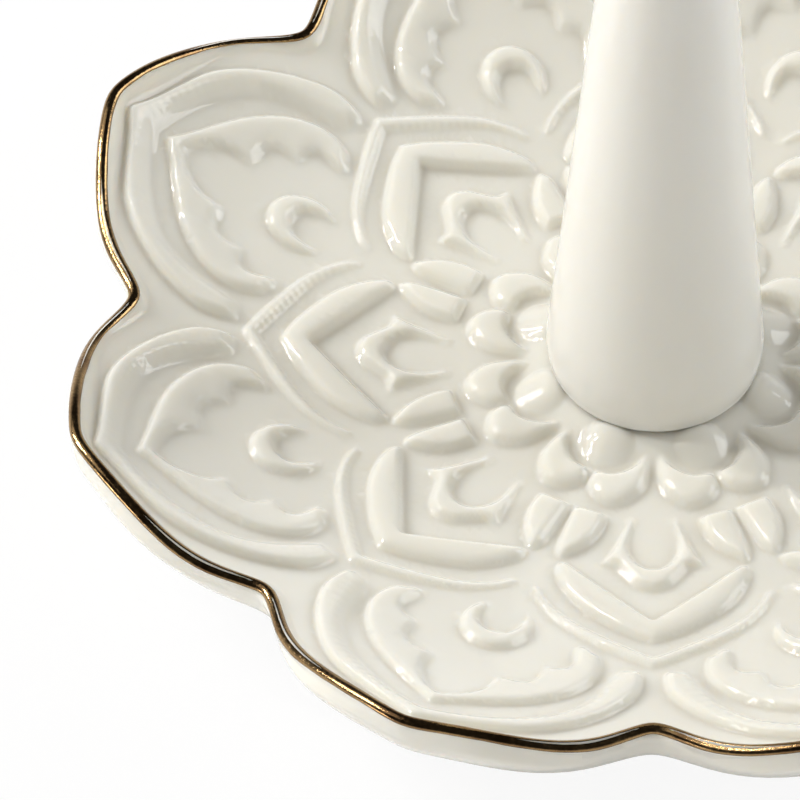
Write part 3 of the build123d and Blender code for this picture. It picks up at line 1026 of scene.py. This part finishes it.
def make_floor():
    """The ground that the dish stands on."""
    bm = bmesh.new()
    bmesh.ops.create_grid(bm, x_segments=1, y_segments=1, size=FLOOR_SIZE)
    material, nodes, links, shader = new_material("pale_floor")
    shader.inputs["Base Color"].default_value = (*FLOOR_COLOUR, 1)
    shader.inputs["Roughness"].default_value = 0.9
    shader.inputs["Specular IOR Level"].default_value = 0.0
    seen = nodes.new("ShaderNodeLightPath").outputs["Is Camera Ray"]
    share = add_node(nodes, "ShaderNodeMath", operation="MULTIPLY")
    share.inputs[1].default_value = FLOOR_WHITENED
    links.new(seen, share.inputs[0])
    white = nodes.new("ShaderNodeEmission")
    blend = nodes.new("ShaderNodeMixShader")
    links.new(share.outputs[0], blend.inputs[0])
    links.new(shader.outputs[0], blend.inputs[1])
    links.new(white.outputs[0], blend.inputs[2])
    links.new(blend.outputs[0], nodes["Material Output"].inputs["Surface"])
    floor = object_from(bm, "floor", [material])


make_floor()

# World: white to the eye, plain soft light on the object. Mirrored, it is bright at the
# horizon and fades to nearly black: heights of the direction, then strengths.
AMBIENT = 0.42
AMBIENT_COLOUR = (1.0, 0.99, 0.97)
WHITE = (1, 1, 1)
MIRRORED_SKY = {"From Min": 0.10, "From Max": 0.40, "To Min": 1.0, "To Max": 0.03}


def make_world():
    """The sky round the object, told apart by the kind of ray."""
    world = bpy.data.worlds.new("studio")
    bpy.context.scene.world = world
    world.use_nodes = True
    nodes, links = world.node_tree.nodes, world.node_tree.links
    nodes.clear()
    path = nodes.new("ShaderNodeLightPath")
    direction = nodes.new("ShaderNodeTexCoord").outputs["Generated"]
    split = nodes.new("ShaderNodeSeparateXYZ")
    links.new(direction, split.inputs[0])
    sky = nodes.new("ShaderNodeMapRange")
    for socket, number in MIRRORED_SKY.items():
        sky.inputs[socket].default_value = number
    links.new(split.outputs["Z"], sky.inputs["Value"])
    plain = nodes.new("ShaderNodeBackground")
    plain.inputs["Color"].default_value = (*AMBIENT_COLOUR, 1)
    plain.inputs["Strength"].default_value = AMBIENT
    mirrored = nodes.new("ShaderNodeBackground")
    links.new(sky.outputs["Result"], mirrored.inputs["Strength"])
    seen = nodes.new("ShaderNodeBackground")
    seen.inputs["Color"].default_value = (*WHITE, 1)
    glossy = nodes.new("ShaderNodeMixShader")
    links.new(path.outputs["Is Glossy Ray"], glossy.inputs[0])
    links.new(plain.outputs[0], glossy.inputs[1])
    links.new(mirrored.outputs[0], glossy.inputs[2])
    camera = nodes.new("ShaderNodeMixShader")
    links.new(path.outputs["Is Camera Ray"], camera.inputs[0])
    links.new(glossy.outputs[0], camera.inputs[1])
    links.new(seen.outputs[0], camera.inputs[2])
    out = nodes.new("ShaderNodeOutputWorld")
    links.new(camera.outputs[0], out.inputs[0])


make_world()


# Lamps: name, place, height aimed at over the dish's middle, size, watts, colour. The two
# narrow strips give the glaze its thin double highlights.
KEY_WARMTH = (1.0, 0.985, 0.955)
FILL_COOL = (0.95, 0.975, 1.0)
LAMPS = (
    ("key_strip_back", (-0.62, 0.26, 0.56), 0.01, (0.022, 0.45), 2.3, KEY_WARMTH),
    ("key_strip_front", (-0.66, 0.10, 0.56), 0.01, (0.022, 0.45), 2.3, KEY_WARMTH),
    ("key_panel", (-0.65, 0.25, 0.85), 0.01, (0.9, 0.9), 1.9, KEY_WARMTH),
    ("low_panel", (-0.86, -0.46, 0.14), 0.03, (0.3, 0.2), 1.5, KEY_WARMTH),
    ("fill_panel", (0.80, 0.20, 0.34), 0.03, (0.5, 0.5), 2.9, FILL_COOL),
)


def area_light(name, place, aim_height, size, watts, colour):
    """A rectangular lamp that faces a point over the dish's middle."""
    data = bpy.data.lights.new(name, "AREA")
    data.shape = "RECTANGLE"
    data.size, data.size_y = size
    data.energy = watts
    data.color = colour
    lamp = bpy.data.objects.new(name, data)
    bpy.context.collection.objects.link(lamp)
    aim = (Vector((0, 0, aim_height)) - Vector(place)).to_track_quat("-Z", "Y")
    lamp.matrix_world = Matrix.LocRotScale(Vector(place), aim, Vector((1, 1, 1)))


for lamp_values in LAMPS:
    area_light(*lamp_values)

# Camera: solved from the rim's outline in the photograph
CAMERA_AZIMUTH = math.radians(3.49)
CAMERA_ELEVATION = math.radians(49.905)
CAMERA_ROLL = math.radians(-1.655)
CAMERA_DISTANCE = 0.48077
CAMERA_TARGET = (-0.026235, -0.016398, 0.018)
CAMERA_LENS = 211.0
CAMERA_SENSOR = 36
CAMERA_NEAR = 0.01
CAMERA_FAR = 20


def make_camera():
    """The camera, turned about its target by azimuth, elevation and roll."""
    back = Vector((math.sin(CAMERA_AZIMUTH) * math.cos(CAMERA_ELEVATION),
                   -math.cos(CAMERA_AZIMUTH) * math.cos(CAMERA_ELEVATION),
                   math.sin(CAMERA_ELEVATION)))
    right = Vector((math.cos(CAMERA_AZIMUTH), math.sin(CAMERA_AZIMUTH), 0))
    up = back.cross(right)
    c, s = math.cos(CAMERA_ROLL), math.sin(CAMERA_ROLL)
    side, top = c * right + s * up, c * up - s * right
    data = bpy.data.cameras.new("view")
    data.lens = CAMERA_LENS
    data.sensor_width = CAMERA_SENSOR
    data.clip_start = CAMERA_NEAR
    data.clip_end = CAMERA_FAR
    camera = bpy.data.objects.new("view", data)
    bpy.context.collection.objects.link(camera)
    turn = Matrix((side, top, back)).transposed().to_4x4()
    place = Vector(CAMERA_TARGET) + back * CAMERA_DISTANCE
    camera.matrix_world = Matrix.Translation(place) @ turn
    bpy.context.scene.camera = camera


make_camera()
bpy.context.scene.view_settings.view_transform = "Standard"
